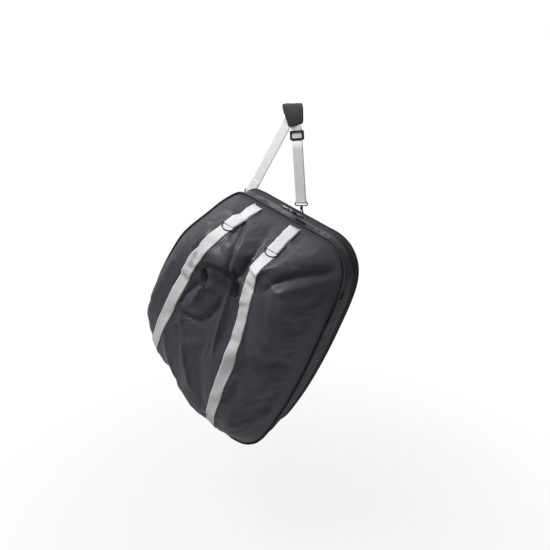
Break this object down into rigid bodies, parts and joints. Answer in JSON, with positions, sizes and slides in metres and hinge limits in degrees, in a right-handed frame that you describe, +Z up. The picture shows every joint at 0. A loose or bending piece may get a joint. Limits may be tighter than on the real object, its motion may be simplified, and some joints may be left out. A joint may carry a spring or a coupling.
{
  "type": "soft bicycle travel bag",
  "caption": "Soft dark bicycle travel bag with light webbing, a zipped lid, D rings, a grab handle and a padded shoulder strap, as it hangs from the strap.",
  "frame": {"origin": "underside of the shoulder pad at the top of its curve, where the pad rests", "axes": "+Z up, -Y the front panel, +X the right as seen from the front"},
  "size_m": [0.7729, 0.4686, 1.2206],
  "materials": {
    "polyester": "coated woven polyester with a soft sheen",
    "light_webbing": "flat woven webbing",
    "black_webbing": "woven webbing and piping",
    "black_metal": "black coated",
    "zip_plastic": "woven tape and moulded teeth",
    "pad_cloth": "padded mesh cloth"
  },
  "bodies": {
    "back_shell": {"back_panel": "polyester", "back_gusset": "polyester", "back_piping": "black_webbing", "back_zip_tape": "zip_plastic", "back_zip_teeth": "zip_plastic", "hinge_strip": "polyester", "back_strap_left": "light_webbing", "back_strap_right": "light_webbing", "back_left_ring_loop": "light_webbing", "back_right_ring_loop": "light_webbing", "back_left_ring": "black_metal", "back_right_ring": "black_metal", "shoulder_webbing": "light_webbing", "shoulder_pad": "pad_cloth", "hook_eye_left": "black_metal", "hook_eye_right": "black_metal"},
    "lid": {"front_panel": "polyester", "front_gusset": "polyester", "front_piping": "black_webbing", "front_zip_tape": "zip_plastic", "front_zip_teeth": "zip_plastic", "front_strap_left": "light_webbing", "front_strap_right": "light_webbing", "front_left_ring_loop": "light_webbing", "front_right_ring_loop": "light_webbing", "handle_end_left": "black_webbing", "handle_end_right": "black_webbing", "label_tab": "black_webbing", "front_tab": "black_webbing"},
    "ring_front_left": {"front_left_ring": "black_metal"},
    "ring_front_right": {"front_right_ring": "black_metal"},
    "grab_handle": {"handle_grip": "black_webbing"},
    "snap_hook_left": {"hook_left": "black_metal"},
    "snap_hook_right": {"hook_right": "black_metal"},
    "gate_left": {"hook_gate_left": "black_metal"},
    "gate_right": {"hook_gate_right": "black_metal"},
    "adjuster": {"tri_glide": "black_metal"},
    "slider_left": {"zip_slider_left": "black_metal"},
    "slider_right": {"zip_slider_right": "black_metal"},
    "pull_left": {"zip_pull_left": "black_metal"},
    "pull_right": {"zip_pull_right": "black_metal"}
  },
  "joints": [
    {"name": "lid_hinge", "type": "hinge", "parent": "back_shell", "child": "lid", "pos_m": [-0.18992, -0.09898, -1.16347], "axis": [0.9272, 0, -0.3746], "range_deg": [0, 100]},
    {"name": "front_left_ring_swing", "type": "hinge", "parent": "lid", "child": "ring_front_left", "pos_m": [-0.06228, -0.29587, -0.35582], "axis": [-0.9272, 0.0014, 0.3746], "range_deg": [0, 150]},
    {"name": "front_right_ring_swing", "type": "hinge", "parent": "lid", "child": "ring_front_right", "pos_m": [0.09573, -0.29587, -0.41966], "axis": [-0.9272, 0, 0.3746], "range_deg": [0, 150]},
    {"name": "handle_fold", "type": "hinge", "parent": "lid", "child": "grab_handle", "pos_m": [-0.06144, -0.36187, -0.51254], "axis": [0.9913, 0, -0.1319], "range_deg": [0, 100]},
    {"name": "left_hook_swivel", "type": "hinge", "parent": "back_shell", "child": "snap_hook_left", "pos_m": [-0.16831, -0.01828, -0.30237], "axis": [0.4086, 0.2672, 0.8727], "range_deg": [-12, 12]},
    {"name": "right_hook_swivel", "type": "hinge", "parent": "back_shell", "child": "snap_hook_right", "pos_m": [0.05753, -0.03369, -0.32379], "axis": [-0.0738, -0.0265, 0.9969], "range_deg": [-12, 12]},
    {"name": "left_gate", "type": "hinge", "parent": "snap_hook_left", "child": "gate_left", "pos_m": [-0.16897, -0.02716, -0.3108], "axis": [0.7738, 0.4055, -0.4865], "range_deg": [0, 25], "stiffness_Nm_per_rad": 0.02, "springref_deg": -20.05},
    {"name": "right_gate", "type": "hinge", "parent": "snap_hook_right", "child": "gate_right", "pos_m": [0.05819, -0.04053, -0.33395], "axis": [0.9972, -0.0131, 0.0734], "range_deg": [0, 25], "stiffness_Nm_per_rad": 0.02, "springref_deg": -20.05},
    {"name": "adjuster_slide", "type": "slide", "parent": "back_shell", "child": "adjuster", "axis": [-0.0738, -0.0265, 0.9969], "range_m": [0, 0.005]},
    {"name": "left_slider_slide", "type": "slide", "parent": "back_shell", "child": "slider_left", "axis": [-0.9272, 0, 0.3746], "range_m": [0, 0.105]},
    {"name": "right_slider_slide", "type": "slide", "parent": "back_shell", "child": "slider_right", "axis": [0.9272, 0, -0.3746], "range_m": [0, 0.105]},
    {"name": "left_pull_swing", "type": "hinge", "parent": "slider_left", "child": "pull_left", "pos_m": [0.03867, -0.08498, -0.32953], "axis": [0, 1, 0], "range_deg": [0, 160]},
    {"name": "right_pull_swing", "type": "hinge", "parent": "slider_right", "child": "pull_right", "pos_m": [0.05768, -0.08498, -0.33721], "axis": [0, -1, 0], "range_deg": [0, 160]}
  ]
}
